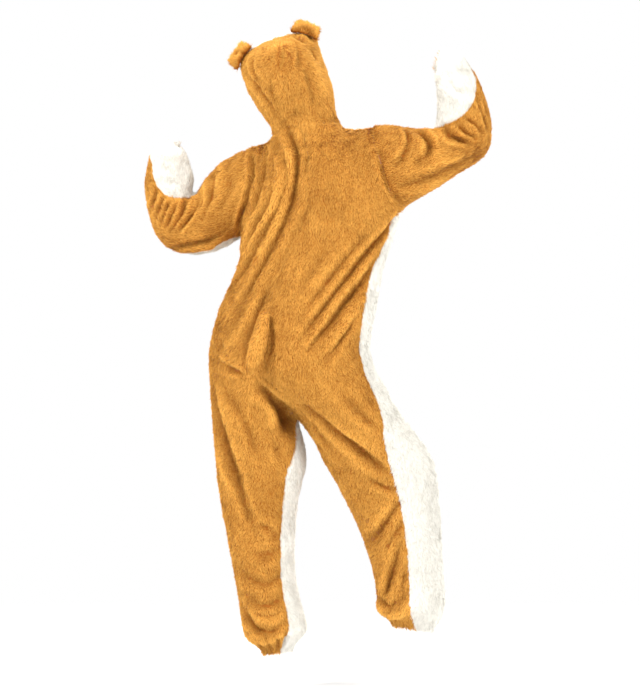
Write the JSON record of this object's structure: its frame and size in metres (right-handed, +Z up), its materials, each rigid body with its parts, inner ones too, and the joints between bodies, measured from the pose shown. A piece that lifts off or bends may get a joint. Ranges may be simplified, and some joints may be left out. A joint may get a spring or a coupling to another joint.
{
  "type": "plush bulldog jumpsuit costume",
  "caption": "Hooded plush dog jumpsuit, tan back and cream front, with folded ears and a short tail, hollow, held in a flexing, mid-step pose.",
  "frame": {"origin": "centre of the neck seam, where the costume hangs on the wearer's shoulders", "axes": "+Z up, -Y the way the costume faces, +X the wearer's left"},
  "size_m": [0.9133, 0.3738, 1.6531],
  "materials": {
    "tan_plush": "long soft pile with a slight sheen",
    "cream_plush": "long soft pile with a slight sheen"
  },
  "bodies": {
    "root": {"back_left": "tan_plush", "back_right": "tan_plush", "front_left": "cream_plush", "front_right": "cream_plush", "front_placket": "cream_plush", "sleeve_left_back": "tan_plush", "sleeve_left_front": "cream_plush", "sleeve_right_back": "tan_plush", "sleeve_right_front": "cream_plush", "hood_back_left": "tan_plush", "hood_back_right": "tan_plush", "hood_front_left": "cream_plush", "hood_front_right": "cream_plush", "ear_left": "tan_plush", "ear_right": "tan_plush", "tail": "tan_plush"}
  },
  "joints": []
}
